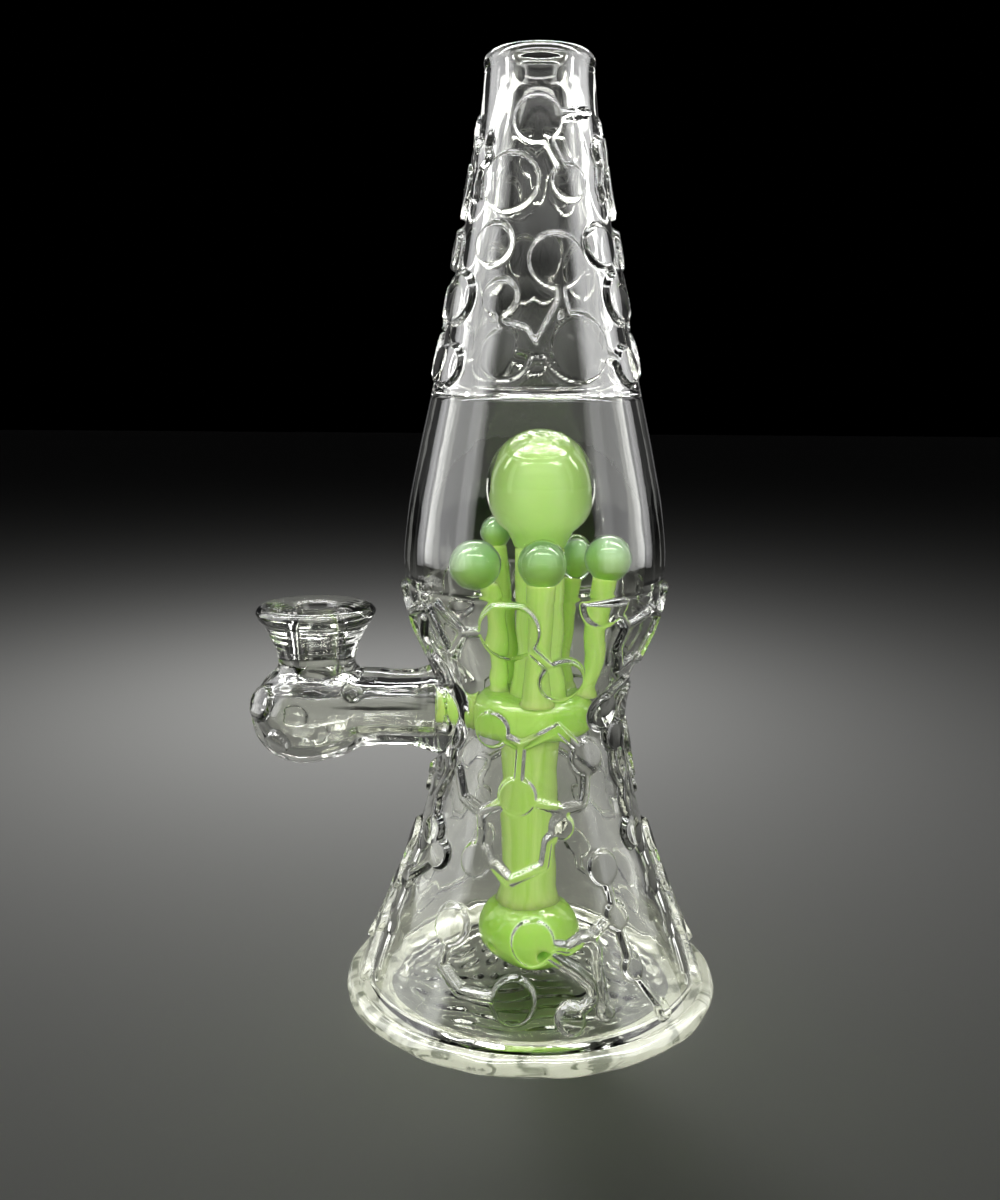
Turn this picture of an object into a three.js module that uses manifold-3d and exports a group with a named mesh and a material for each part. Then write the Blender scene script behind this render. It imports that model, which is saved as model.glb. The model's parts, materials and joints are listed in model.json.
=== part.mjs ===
// Glass water pipe in the outline of a lava lamp, millimetres, +Z up.
// The origin is the centre of the underside of the base, on the vessel's axis.
// The front faces -Y and the side arm points to -X.
// A clear vessel of welded, open sections holds a coloured percolator with five
// blob-tipped fingers and a tall central blob, and a side arm with a socket feeds it.
import * as THREE from 'three';
import { mergeVertices } from 'three/addons/utils/BufferGeometryUtils.js';
import Module from 'manifold-3d';

const wasm = await Module();
wasm.setup();

// ---- Driving dimensions ----
const WELD_GAP = 0.3;              // left between two pieces that are welded together
const OVERALL_HEIGHT = 222;
const FOOT_RADIUS = 46;
const FOOT_HEIGHT = 5;
const BASE_PLATE_RADIUS = 38.4;
const BASE_PLATE_THICKNESS = 4.5;
const WALL = 4.5;                  // vessel wall up to the top of the belly
const NECK_WALL = 5.4;             // vessel wall at the mouth
const MOUTH_BORE_RADIUS = 6.8;
const MOUTH_OUTER_RADIUS = 12.5;
const WAIST_WELD = 63;             // height of the weld between skirt and waist
const BELLY_WELD = 103.7;          // weld between the waist and the clear belly
const NECK_WELD = 147;             // weld between the clear belly and the neck
const LIP_WELD = 217;              // weld between the neck and the mouth's rounded lip

const ARM_HEIGHT = 71.8;           // height of the side arm's axis
const ARM_BORE_RADIUS = 5;
const ARM_OUTER_RADIUS = 9.2;
const BULB_END = -68.5;            // the bulb's outermost point along X
const BULB_CENTRE = -54.5;
const BULB_RADIUS = 13;
const BULB_WALL = 3.5;
const BULB_WELD = -39.6;           // weld between the bulb and the arm's tube
const BULB_DROOP = 0.07;           // the bulb's axis falls this much per mm outwards
const SOCKET_X = -52.4;            // axis of the joint socket
const SOCKET_WELD = 88;            // weld between the socket's stem and its flange
const SOCKET_TOP = 97;
const SOCKET_BORE_TOP = 5;         // a 10 mm joint, tapering 1 in 10
const SOCKET_BORE_BOTTOM = 4.3;
const FLANGE_RADIUS = 14.5;

const DECK_RADIUS = 14.3;
const DECK_BOTTOM = 67;
const DECK_TOP = 77;
const DECK_WALL = 2.4;
const DECK_EDGE = 3;               // rounding of the deck's rim
const DOWNTUBE_X = -0.6;
const DOWNTUBE_RADIUS = 6.9;
const DOWNTUBE_BORE = 4.5;
const PUCK_RADIUS = 12.5;
const PUCK_TOP = 23;
const PUCK_BOTTOM = 7;
const PUCK_WALL = 2.4;
const PUCK_LEAN = -0.09;           // the puck hangs lower on its right, per mm across
const PUCK_HOLES = 6;
const PUCK_HOLE_RADIUS = 1.25;
const PUCK_HOLE_HEIGHT = 13.5;
const INLET_RADIUS = 4.4;
const INLET_BORE = 2.3;
const COLUMN_X = 1.3;
const COLUMN_RADIUS = 5.9;
const BLOB_NECK = 111.6;           // weld between the central column and its blob
const BLOB_EQUATOR = 125.6;
const BLOB_TOP = 139.1;
const BLOB_RADIUS = 13;

const VESSEL_SIDES = 36;
const TUBE_SIDES = 20;
const STALK_SIDES = 10;

// The vessel's outer surface: its radius at each named height.
const VESSEL_OUTLINE = [
  { height: 5, radius: 43.0 },      // top of the foot
  { height: 18, radius: 36.9 },
  { height: 30, radius: 32.2 },
  { height: 46, radius: 26.6 },
  { height: 62, radius: 22.8 },
  { height: 75, radius: 21.3 },     // waist
  { height: 84, radius: 24.3 },
  { height: 96, radius: 28.9 },
  { height: 108, radius: 30.9 },    // widest, at the belly
  { height: 120, radius: 29.9 },
  { height: 133, radius: 27.4 },
  { height: 147, radius: 24.3 },
  { height: 162, radius: 20.9 },
  { height: 180, radius: 17.6 },
  { height: 196, radius: 14.6 },
  { height: 208, radius: 13.1 },
  { height: 217, radius: 12.3 },    // below the lip
];

// The fingers: each stalk rises from the deck along its path to the middle of its blob.
const FINGERS = [
  {
    path: [[0.9, -10.4, 76], [1.0, -10.8, 84], [1.4, -11.4, 98], [1.8, -12.2, 109.3]],
    stalk: 2.95, foot: 3.9, blob: [5.5, 5.5, 5.6],
  },
  {
    path: [[11.8, -1.0, 76], [13.6, -1.2, 81], [15.0, -1.6, 93], [17.4, -2.0, 109.2]],
    stalk: 2.6, foot: 3.4, blob: [5.6, 5.6, 5.6],
  },
  {
    path: [[6.6, 8.6, 76], [7.4, 8.8, 84], [8.8, 9.2, 97], [10.6, 9.6, 107.4]],
    stalk: 2.2, foot: 3.0, blob: [4.2, 4.2, 5.9],
  },
  {
    path: [[-5.4, 9.2, 76], [-6.4, 9.4, 86], [-8.0, 9.7, 102], [-9.7, 10.0, 113.6]],
    stalk: 1.9, foot: 2.6, blob: [3.9, 3.9, 4.0],
  },
  {
    path: [[-8.2, 1.8, 76], [-8.6, 1.6, 88], [-9.6, 0.6, 99], [-14.0, -2.0, 107.4]],
    stalk: 2.2, foot: 2.9, blob: [6.2, 5.8, 5.9],
  },
];

// ---- Materials ----
const clearGlass = new THREE.MeshStandardMaterial({
  name: 'clear_glass', color: 0xe9f1ea, roughness: 0.05, metalness: 0, transparent: true, opacity: 0.35,
});
const greenGlass = new THREE.MeshStandardMaterial({
  name: 'green_glass', color: 0x9fd65f, roughness: 0.08, metalness: 0,
});
const tipGlass = new THREE.MeshStandardMaterial({
  name: 'tip_glass', color: 0x86cf8c, roughness: 0.08, metalness: 0,
});

// ---- Helpers ----
// A clean closed solid: shared corners merged, flat triangles dropped, faces turned outwards.
function closedSolid(source) {
  const bare = source.clone();
  bare.deleteAttribute('normal');
  bare.deleteAttribute('uv');
  const merged = mergeVertices(bare, 1e-4);
  const corners = merged.index.array;
  const kept = [];
  let volume = 0;
  const [a, b, c] = [new THREE.Vector3(), new THREE.Vector3(), new THREE.Vector3()];
  for (let i = 0; i < corners.length; i += 3) {
    const [i0, i1, i2] = [corners[i], corners[i + 1], corners[i + 2]];
    if (i0 === i1 || i1 === i2 || i2 === i0) continue;
    kept.push(i0, i1, i2);
    a.fromBufferAttribute(merged.attributes.position, i0);
    b.fromBufferAttribute(merged.attributes.position, i1);
    c.fromBufferAttribute(merged.attributes.position, i2);
    volume += a.dot(b.cross(c));
  }
  if (volume < 0) kept.reverse();
  merged.setIndex(kept);
  return merged;
}

function toManifold(geometry) {
  const solid = closedSolid(geometry);
  return new wasm.Manifold(new wasm.Mesh({
    numProp: 3,
    vertProperties: new Float32Array(solid.attributes.position.array),
    triVerts: new Uint32Array(solid.index.array),
  }));
}

function fromManifold(manifold) {
  const cut = manifold.getMesh();
  const geometry = new THREE.BufferGeometry();
  geometry.setAttribute('position', new THREE.BufferAttribute(new Float32Array(cut.vertProperties), 3));
  geometry.setIndex([...cut.triVerts]);
  return geometry;
}

// The body less each of the tools.
function cut(body, ...tools) {
  let result = toManifold(body);
  for (const tool of tools) result = result.subtract(toManifold(tool));
  return fromManifold(result);
}

// A solid of revolution about +Z from a profile of [radius, height] points.
function turned(profile, sides) {
  const points = profile.map(([radius, height]) => new THREE.Vector2(radius, height));
  return new THREE.LatheGeometry(points, sides).rotateX(Math.PI / 2);
}

// A ring or tube: the profile closes on itself.
function turnedRing(profile, sides) {
  return turned([...profile, profile[0]], sides);
}

// A solid of revolution about +X, at the height of the side arm.
function turnedAlongX(profile, sides) {
  return turned(profile.map(([along, radius]) => [radius, along]), sides)
    .rotateY(Math.PI / 2)
    .translate(0, 0, ARM_HEIGHT);
}

function rod(radius, from, to, sides) {
  const length = to.clone().sub(from);
  const turn = new THREE.Quaternion();
  turn.setFromUnitVectors(new THREE.Vector3(0, 1, 0), length.clone().normalize());
  const middle = from.clone().add(to).multiplyScalar(0.5);
  return new THREE.CylinderGeometry(radius, radius, length.length(), sides)
    .applyQuaternion(turn)
    .translate(middle.x, middle.y, middle.z);
}

// Points of an elliptical arc, angles in degrees from the profile's radial direction.
function arc([centreA, centreB], [halfA, halfB], fromDegrees, toDegrees, steps) {
  return Array.from({ length: steps + 1 }, (_, i) => {
    const angle = THREE.MathUtils.degToRad(fromDegrees + ((toDegrees - fromDegrees) * i) / steps);
    return [centreA + halfA * Math.cos(angle), centreB + halfB * Math.sin(angle)];
  });
}

const outline = new THREE.CubicInterpolant(
  VESSEL_OUTLINE.map((point) => point.height),
  VESSEL_OUTLINE.map((point) => point.radius),
  1,
);

function vesselRadius(height) {
  return outline.evaluate(height)[0];
}

function wallAt(height) {
  const up = THREE.MathUtils.clamp((height - NECK_WELD) / (LIP_WELD - NECK_WELD), 0, 1);
  return THREE.MathUtils.lerp(WALL, NECK_WALL, up);
}

// Sideways shift of a lathed form so that its middle follows a path of [x, y, z] points.
function followPath(geometry, path) {
  const curve = new THREE.CatmullRomCurve3(path.map((point) => new THREE.Vector3(...point)));
  const [low, high] = [path[0][2], path[path.length - 1][2]];
  const places = geometry.attributes.position;
  for (let i = 0; i < places.count; i += 1) {
    const along = THREE.MathUtils.clamp((places.getZ(i) - low) / (high - low), 0, 1);
    const middle = curve.getPoint(along);
    places.setXY(i, places.getX(i) + middle.x, places.getY(i) + middle.y);
  }
  return geometry;
}

// ---- The clear vessel ----
function vesselSection(from, to, steps) {
  const heights = Array.from({ length: steps + 1 }, (_, i) => (
    THREE.MathUtils.lerp(from + WELD_GAP / 2, to - WELD_GAP / 2, i / steps)
  ));
  const outside = heights.map((height) => [vesselRadius(height), height]);
  const inside = heights.map((height) => [vesselRadius(height) - wallAt(height), height]).reverse();
  return turnedRing([...outside, ...inside], VESSEL_SIDES);
}

// The vessel as a solid plug, grown by a gap, which trims what is welded to its outside.
function vesselPlug(gap) {
  const heights = Array.from({ length: 17 }, (_, i) => 50 + i * 3);
  const side = heights.map((height) => [vesselRadius(height) + gap, height]);
  return turned([[0, heights[0]], ...side, [0, heights[heights.length - 1]]], VESSEL_SIDES);
}

function mouthpieceLip() {
  const middle = (MOUTH_BORE_RADIUS + MOUTH_OUTER_RADIUS) / 2;
  const halfWidth = (MOUTH_OUTER_RADIUS - MOUTH_BORE_RADIUS) / 2;
  const shoulder = 218.8;
  const crown = arc([middle, shoulder], [halfWidth, OVERALL_HEIGHT - shoulder], 0, 180, 6);
  const bottom = LIP_WELD + WELD_GAP / 2;
  const profile = [[MOUTH_OUTER_RADIUS - 0.2, bottom], ...crown, [MOUTH_BORE_RADIUS, bottom]];
  return turnedRing(profile, VESSEL_SIDES);
}

function footRim() {
  const inner = BASE_PLATE_RADIUS + WELD_GAP;
  const lower = arc([FOOT_RADIUS - 2.2, 2.2], [2.2, 2.2], -90, 0, 2);
  const upper = arc([FOOT_RADIUS - 2.8, 2.6], [2.8, FOOT_HEIGHT - 2.6], 10, 90, 2);
  return turnedRing([[inner, 0], ...lower, ...upper, [inner, FOOT_HEIGHT]], VESSEL_SIDES);
}

function basePlate() {
  const chamfer = 0.6;
  return turned([
    [0, 0],
    [BASE_PLATE_RADIUS - chamfer, 0],
    [BASE_PLATE_RADIUS, chamfer],
    [BASE_PLATE_RADIUS, BASE_PLATE_THICKNESS - chamfer],
    [BASE_PLATE_RADIUS - chamfer, BASE_PLATE_THICKNESS],
    [0, BASE_PLATE_THICKNESS],
  ], VESSEL_SIDES);
}

function waistSection() {
  const hole = rod(
    INLET_RADIUS + WELD_GAP,
    new THREE.Vector3(-30, 0, ARM_HEIGHT),
    new THREE.Vector3(-10, 0, ARM_HEIGHT),
    TUBE_SIDES,
  );
  return cut(vesselSection(WAIST_WELD, BELLY_WELD, 6), hole);
}

// ---- The side arm ----
function sideArmTube() {
  const end = -16;
  const start = BULB_WELD + WELD_GAP / 2;
  const tube = turnedAlongX([
    [start, ARM_BORE_RADIUS],
    [start, ARM_OUTER_RADIUS + 0.1],
    [-34, ARM_OUTER_RADIUS],
    [-29, ARM_OUTER_RADIUS],
    [-24, ARM_OUTER_RADIUS + 0.7],
    [end, ARM_OUTER_RADIUS + 0.8],
    [end, ARM_BORE_RADIUS],
    [start, ARM_BORE_RADIUS],
  ], TUBE_SIDES);
  return cut(tube, vesselPlug(WELD_GAP));
}

function armWeldCollar() {
  const inner = ARM_OUTER_RADIUS + 0.8 + WELD_GAP;
  const bead = turnedAlongX([
    [-24, inner],
    [-24, inner + 0.9],
    [-23, inner + 1.9],
    [-21.4, inner + 2.3],
    [-14, inner + 2.3],
    [-14, inner],
    [-24, inner],
  ], TUBE_SIDES);
  return cut(bead, vesselPlug(WELD_GAP));
}

// The bulb's form about the arm's axis, grown or shrunk by an offset, out to a flat end.
function bulbForm(offset, end) {
  const [halfLength, radius] = [BULB_CENTRE - BULB_END + offset, BULB_RADIUS + offset];
  const neck = ARM_OUTER_RADIUS + 0.1 + offset;
  const dome = arc([BULB_CENTRE, 0], [halfLength, radius], 180, 75, 7);
  dome[0][1] = 0;
  const shoulder = [[-45.5, neck + 2.5], [-42, neck + 0.5]];
  const form = turnedAlongX([...dome, ...shoulder, [end, neck], [end, 0]], TUBE_SIDES);
  const shear = new THREE.Matrix4().makeShear(0, BULB_DROOP, 0, 0, 0, 0);
  return form.translate(-BULB_WELD, 0, 0).applyMatrix4(shear).translate(BULB_WELD, 0, 0);
}

function sideArmBulb() {
  const mouth = rod(
    SOCKET_BORE_BOTTOM,
    new THREE.Vector3(SOCKET_X, 0, ARM_HEIGHT),
    new THREE.Vector3(SOCKET_X, 0, SOCKET_TOP),
    TUBE_SIDES,
  );
  return cut(bulbForm(0, BULB_WELD - WELD_GAP / 2), bulbForm(-BULB_WALL, BULB_WELD + 2), mouth);
}

function jointSocket() {
  const bottom = 76;
  const top = SOCKET_WELD - WELD_GAP / 2;
  const stem = turnedRing([
    [SOCKET_BORE_BOTTOM, bottom],
    [10.6, bottom],
    [9.6, 81],
    [9.15, 83.5],
    [10.4, top],
    [SOCKET_BORE_TOP - 0.5, top],
  ], TUBE_SIDES).translate(SOCKET_X, 0, 0);
  return cut(stem, bulbForm(WELD_GAP, BULB_WELD));
}

function jointFlange() {
  const bottom = SOCKET_WELD + WELD_GAP / 2;
  const rim = arc([FLANGE_RADIUS - 2, 95], [2, 2], 0, 90, 4);
  return turnedRing([
    [SOCKET_BORE_TOP - 0.5, bottom],
    [10.5, bottom],
    [12.8, 92.4],
    ...rim,
    [SOCKET_BORE_TOP + 0.7, SOCKET_TOP],
    [SOCKET_BORE_TOP, SOCKET_TOP - 1.2],
  ], TUBE_SIDES).translate(SOCKET_X, 0, 0);
}

// ---- The green percolator ----
function deckProfile(gap) {
  const edge = DECK_EDGE + gap * 0.4;
  const [low, high, radius] = [DECK_BOTTOM - gap, DECK_TOP + gap, DECK_RADIUS + gap];
  return [
    ...arc([radius - edge, low + edge], [edge, edge], -90, 0, 3),
    ...arc([radius - edge, high - edge], [edge, edge], 0, 90, 3),
  ];
}

// The deck's rounded form grown or, for its hollow, shrunk by a gap.
function deckForm(gap) {
  return turned([[0, DECK_BOTTOM - gap], ...deckProfile(gap), [0, DECK_TOP + gap]], TUBE_SIDES);
}

function percDeck() {
  const outside = deckForm(0);
  const inside = deckForm(-DECK_WALL);
  const drain = rod(
    DOWNTUBE_BORE,
    new THREE.Vector3(DOWNTUBE_X, 0, DECK_BOTTOM - 2),
    new THREE.Vector3(DOWNTUBE_X, 0, ARM_HEIGHT),
    TUBE_SIDES,
  );
  const inlet = rod(
    INLET_BORE,
    new THREE.Vector3(-DECK_RADIUS - 2, 0, ARM_HEIGHT),
    new THREE.Vector3(-DECK_RADIUS / 2, 0, ARM_HEIGHT),
    TUBE_SIDES / 2,
  );
  return cut(outside, inside, drain, inlet);
}

function percInletTube() {
  const [start, end] = [-21.6, -10];
  const tube = turnedAlongX([
    [start, INLET_BORE],
    [start, INLET_RADIUS],
    [end, INLET_RADIUS],
    [end, INLET_BORE],
    [start, INLET_BORE],
  ], TUBE_SIDES);
  return cut(tube, deckForm(WELD_GAP));
}

function downtube() {
  const [bottom, top] = [PUCK_TOP + WELD_GAP, DECK_BOTTOM - WELD_GAP];
  return turnedRing([
    [DOWNTUBE_BORE, bottom],
    [DOWNTUBE_RADIUS + 0.9, bottom],
    [DOWNTUBE_RADIUS, bottom + 5],
    [DOWNTUBE_RADIUS - 0.2, 48],
    [DOWNTUBE_RADIUS, top - 3],
    [DOWNTUBE_RADIUS + 0.9, top],
    [DOWNTUBE_BORE, top],
  ], TUBE_SIDES).translate(DOWNTUBE_X, 0, 0);
}

// The puck's form, or its hollow when inset by the wall.
function puckForm(inset) {
  const equator = 15.5;
  const shoulder = [DOWNTUBE_RADIUS + 0.9 - inset, PUCK_TOP - inset];
  return turned([
    [0, PUCK_BOTTOM + inset],
    ...arc([3, equator], [PUCK_RADIUS - inset - 3, equator - PUCK_BOTTOM - inset], -80, 0, 4),
    ...arc([6.5, equator], [PUCK_RADIUS - inset - 6.5, PUCK_TOP - equator - inset - 0.3], 25, 70, 2),
    shoulder,
    [0, PUCK_TOP - inset],
  ], TUBE_SIDES);
}

// Everything below the puck's top tips to one side, more the lower it lies.
function leaned(geometry) {
  const places = geometry.attributes.position;
  for (let i = 0; i < places.count; i += 1) {
    const depth = THREE.MathUtils.smoothstep(PUCK_TOP - places.getZ(i), 0, 8);
    places.setZ(i, places.getZ(i) + PUCK_LEAN * places.getX(i) * depth);
  }
  return geometry;
}

function diffuserPuck() {
  const mouth = rod(
    DOWNTUBE_BORE,
    new THREE.Vector3(0, 0, 15),
    new THREE.Vector3(0, 0, PUCK_TOP + 2),
    TUBE_SIDES,
  );
  const holes = Array.from({ length: PUCK_HOLES }, (_, i) => {
    const angle = THREE.MathUtils.degToRad(-75 + (360 / PUCK_HOLES) * i);
    const outwards = new THREE.Vector3(Math.cos(angle), Math.sin(angle), 0);
    return rod(
      PUCK_HOLE_RADIUS,
      outwards.clone().multiplyScalar(6).setZ(PUCK_HOLE_HEIGHT),
      outwards.clone().multiplyScalar(PUCK_RADIUS + 2).setZ(PUCK_HOLE_HEIGHT),
      8,
    );
  });
  return leaned(cut(puckForm(0), puckForm(PUCK_WALL), mouth, ...holes)).translate(DOWNTUBE_X, 0, 0);
}

function centreColumn() {
  return turned([
    [0, DECK_TOP + WELD_GAP],
    [COLUMN_RADIUS + 0.5, DECK_TOP + WELD_GAP],
    [COLUMN_RADIUS, DECK_TOP + 4],
    [COLUMN_RADIUS - 0.1, 96],
    [COLUMN_RADIUS, BLOB_NECK - WELD_GAP],
    [0, BLOB_NECK - WELD_GAP],
  ], TUBE_SIDES).translate(COLUMN_X, 0, 0);
}

function centreBlob() {
  const crown = arc([0, BLOB_EQUATOR], [BLOB_RADIUS, BLOB_TOP - BLOB_EQUATOR], -30, 90, 8);
  crown[crown.length - 1][0] = 0;
  return turned([
    [0, BLOB_NECK],
    [COLUMN_RADIUS + 0.3, BLOB_NECK],
    [COLUMN_RADIUS + 1.6, BLOB_NECK + 2.2],
    ...crown,
  ], TUBE_SIDES).translate(COLUMN_X, 0, 0);
}

function fingerBlob({ path, blob }, gap) {
  const [x, y, z] = path[path.length - 1];
  return new THREE.SphereGeometry(1, 14, 8)
    .rotateX(Math.PI / 2)
    .scale(blob[0] + gap, blob[1] + gap, blob[2] + gap)
    .translate(x, y, z);
}

function fingerStalk(finger) {
  const bottom = finger.path[0][2];
  const top = finger.path[finger.path.length - 1][2];
  const form = turned([
    [0, bottom],
    [finger.foot, bottom],
    [finger.foot - 0.2, DECK_TOP + 1],
    [finger.stalk, DECK_TOP + 6],
    [finger.stalk, 90],
    [finger.stalk, 98],
    [finger.stalk + 0.3, top - 4],
    [finger.stalk + 0.3, top],
    [0, top],
  ], STALK_SIDES);
  return cut(followPath(form, finger.path), fingerBlob(finger, WELD_GAP), deckForm(WELD_GAP));
}

// ---- Assembly ----
const waterPipe = new THREE.Group();

function add(group, name, geometry, material) {
  const mesh = new THREE.Mesh(closedSolid(geometry), material);
  mesh.name = name;
  group.add(mesh);
}

const vessel = new THREE.Group();
add(vessel, 'foot_rim', footRim(), clearGlass);
add(vessel, 'base_plate', basePlate(), clearGlass);
add(vessel, 'skirt_section', vesselSection(FOOT_HEIGHT + WELD_GAP / 2, WAIST_WELD, 5), clearGlass);
add(vessel, 'waist_section', waistSection(), clearGlass);
add(vessel, 'belly_band', vesselSection(BELLY_WELD, NECK_WELD, 4), clearGlass);
add(vessel, 'neck_section', vesselSection(NECK_WELD, LIP_WELD, 4), clearGlass);
add(vessel, 'mouthpiece_lip', mouthpieceLip(), clearGlass);
waterPipe.add(vessel);

const sideArm = new THREE.Group();
add(sideArm, 'side_arm_tube', sideArmTube(), clearGlass);
add(sideArm, 'side_arm_bulb', sideArmBulb(), clearGlass);
add(sideArm, 'arm_weld_collar', armWeldCollar(), clearGlass);
add(sideArm, 'joint_socket', jointSocket(), clearGlass);
add(sideArm, 'joint_flange', jointFlange(), clearGlass);
waterPipe.add(sideArm);

const percolator = new THREE.Group();
add(percolator, 'perc_inlet_tube', percInletTube(), greenGlass);
add(percolator, 'perc_deck', percDeck(), greenGlass);
add(percolator, 'downtube', downtube(), greenGlass);
add(percolator, 'diffuser_puck', diffuserPuck(), greenGlass);
add(percolator, 'centre_column', centreColumn(), greenGlass);
add(percolator, 'centre_blob', centreBlob(), greenGlass);
FINGERS.forEach((finger, i) => {
  add(percolator, `finger_stalk_${i + 1}`, fingerStalk(finger), greenGlass);
  add(percolator, `finger_blob_${i + 1}`, fingerBlob(finger, 0), tipGlass);
});
waterPipe.add(percolator);

export default waterPipe;
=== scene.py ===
"""Looks of the glass water pipe in a lava-lamp outline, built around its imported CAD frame.

Lengths are in millimetres until a mesh is made, and in metres for the lights and the camera.
+Z is up, and the front faces -Y. An angle round the vessel is in degrees from the front,
positive towards +X.
"""

import json
import math

import bpy
import numpy as np
from mathutils import Matrix, Vector

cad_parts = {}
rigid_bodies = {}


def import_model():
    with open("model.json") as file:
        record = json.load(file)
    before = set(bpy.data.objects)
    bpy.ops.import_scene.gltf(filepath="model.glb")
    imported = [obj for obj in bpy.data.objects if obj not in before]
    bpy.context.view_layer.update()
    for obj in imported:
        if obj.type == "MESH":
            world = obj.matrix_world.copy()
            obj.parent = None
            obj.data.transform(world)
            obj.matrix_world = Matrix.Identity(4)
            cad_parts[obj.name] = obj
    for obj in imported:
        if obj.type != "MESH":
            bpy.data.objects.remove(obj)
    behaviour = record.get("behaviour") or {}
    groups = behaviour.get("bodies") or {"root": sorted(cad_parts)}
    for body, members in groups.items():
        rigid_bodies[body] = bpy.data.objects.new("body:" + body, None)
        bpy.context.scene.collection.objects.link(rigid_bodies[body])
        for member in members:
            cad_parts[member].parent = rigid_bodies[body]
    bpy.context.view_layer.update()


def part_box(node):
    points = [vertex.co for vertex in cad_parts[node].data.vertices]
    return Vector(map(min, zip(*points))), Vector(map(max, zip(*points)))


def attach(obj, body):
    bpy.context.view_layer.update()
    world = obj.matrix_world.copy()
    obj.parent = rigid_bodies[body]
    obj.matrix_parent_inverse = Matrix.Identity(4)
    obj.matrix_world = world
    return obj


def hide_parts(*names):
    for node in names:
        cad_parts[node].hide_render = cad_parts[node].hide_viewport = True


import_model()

MM = 0.001
CAD_WELD_GAP = 0.3                 # left between two CAD pieces that are welded together


def cad_top(node):
    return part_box(node)[1].z / MM


def cad_bottom(node):
    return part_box(node)[0].z / MM


# ---- Places taken from the frame ----
OVERALL_HEIGHT = cad_top("mouthpiece_lip")
NECK_WELD = (cad_top("belly_band") + cad_bottom("neck_section")) / 2
BELLY_WELD = (cad_top("waist_section") + cad_bottom("belly_band")) / 2
FOOT_TOP = cad_top("foot_rim")
FOOT_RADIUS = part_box("foot_rim")[1].x / MM
PLATE_TOP = cad_top("base_plate")
ARM_HEIGHT = (cad_top("perc_inlet_tube") + cad_bottom("perc_inlet_tube")) / 2
DECK_BOTTOM = cad_bottom("perc_deck")
DECK_TOP = cad_top("perc_deck")
DECK_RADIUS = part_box("perc_deck")[1].x / MM
PUCK_BOTTOM = cad_bottom("diffuser_puck")
PUCK_TOP = cad_bottom("downtube") - CAD_WELD_GAP
BLOB_TOP = cad_top("centre_blob")
BULB_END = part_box("side_arm_bulb")[0].x / MM
SOCKET_TOP = cad_top("joint_flange")

# ---- Driving sizes that the frame's boxes don't give ----
WALL = 4.5
NECK_WALL = 4.2                    # the CAD's neck is a little thicker
MOUTH_BORE = 6.8
MOUTH_RADIUS = 12.5
LIP_ROUND = 3.2                    # height of the lip's rounding
LIP_SHOULDER = OVERALL_HEIGHT - LIP_ROUND
LIP_MIDDLE = (MOUTH_RADIUS + MOUTH_BORE) / 2
RIM_INSIDE = 41.7                  # the foot's rounded rim is outside this
PLATE_RADIUS = 36.5                # and the rippled plate is inside this
GROUND_RING_RADIUS = 34.0          # the foot's underside is ground flat outside this
DISH_DEPTH = 0.8                   # and hollowed this much inside it
WELD_GAP = 0.03                    # the carved neck stands this far above the belly
WELD_PINCH = 0.15                  # how deep the groove is where the belly meets the carving
RELIEF_HEIGHT = 1.35
RELIEF_SLOPE = 0.75                # width of the slope from the ground to the flat top
BAR_HALF_WIDTH = 0.88
ARM_BORE = 5.0
ARM_RADIUS = 9.2
ARM_SIDES = 96
ARM_MARGIN = 12.5                  # the wall is plain this far round the arm's axis
ARM_WELD = (9.6, 14.2)             # the arm's weld lies between these distances from its axis
BULB_CENTRE = -54.5
BULB_RADIUS = 13.0
BULB_WALL = 3.5
BULB_WELD = -39.6
BULB_DROOP = 0.07
SOCKET_X = -52.4
RIB_PITCH = 1.9                    # of the faint ribs round the socket
INLET_RADIUS = 4.4
INLET_HOLE_RADIUS = 4.75           # the hole in the vessel's wall
INLET_BORE = 2.3
DOWNTUBE_X = -0.6
DOWNTUBE_RADIUS = 6.9
DECK_EDGE = 3.0                    # rounding of the deck's rim
PUCK_RADIUS = 12.5
PUCK_EQUATOR = 15.5
PUCK_LEAN = -0.09
PUCK_HOLES = 6
PUCK_HOLE_RADIUS = 1.25
PUCK_HOLE_HEIGHT = 13.5
COLUMN_X = 1.3
COLUMN_RADIUS = 5.9
BLOB_NECK = 111.6                  # weld between the central column and its blob
BLOB_EQUATOR = 125.6
BLOB_RADIUS = 13.0
CORE_TOP = 136.5                   # of the green core inside the central blob
CROWN_HEIGHT = 132.6               # the core is bubbly above this, and painted paler there as a painted highlight

# The vessel's outer surface, as (height, radius).
VESSEL_OUTLINE = [
    (5, 43.0), (18, 36.9), (30, 32.2), (46, 26.6), (62, 22.8), (75, 21.3), (84, 24.3),
    (96, 28.9), (108, 30.9), (120, 29.9), (133, 27.4), (147, 24.3), (162, 20.9),
    (180, 17.6), (196, 14.6), (208, 13.1), (217, 12.3),
]

# Fingers: the stalk's path, its radius, its root's radius, and the tip's radius and half-height.
FINGERS = [
    ([(0.9, -10.4, 76), (1.0, -10.8, 84), (1.4, -11.4, 98), (1.8, -12.2, 109.3)],
     2.95, 3.9, 5.5, 5.6),
    ([(11.8, -1.0, 76), (13.6, -1.2, 81), (15.0, -1.6, 93), (17.4, -2.0, 109.2)],
     2.6, 3.4, 5.6, 5.6),
    ([(6.6, 8.6, 76), (7.4, 8.8, 84), (8.8, 9.2, 97), (10.6, 9.6, 107.4)],
     2.2, 3.0, 4.2, 5.9),
    ([(-5.4, 9.2, 76), (-6.4, 9.4, 86), (-8.0, 9.7, 102), (-9.7, 10.0, 113.6)],
     1.9, 2.6, 3.9, 4.0),
    ([(-8.2, 1.8, 76), (-8.6, 1.6, 88), (-9.6, 0.6, 99), (-14.0, -2.0, 107.4)],
     2.2, 2.9, 6.2, 5.9),
]
FINGER_SIDES = 40
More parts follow.
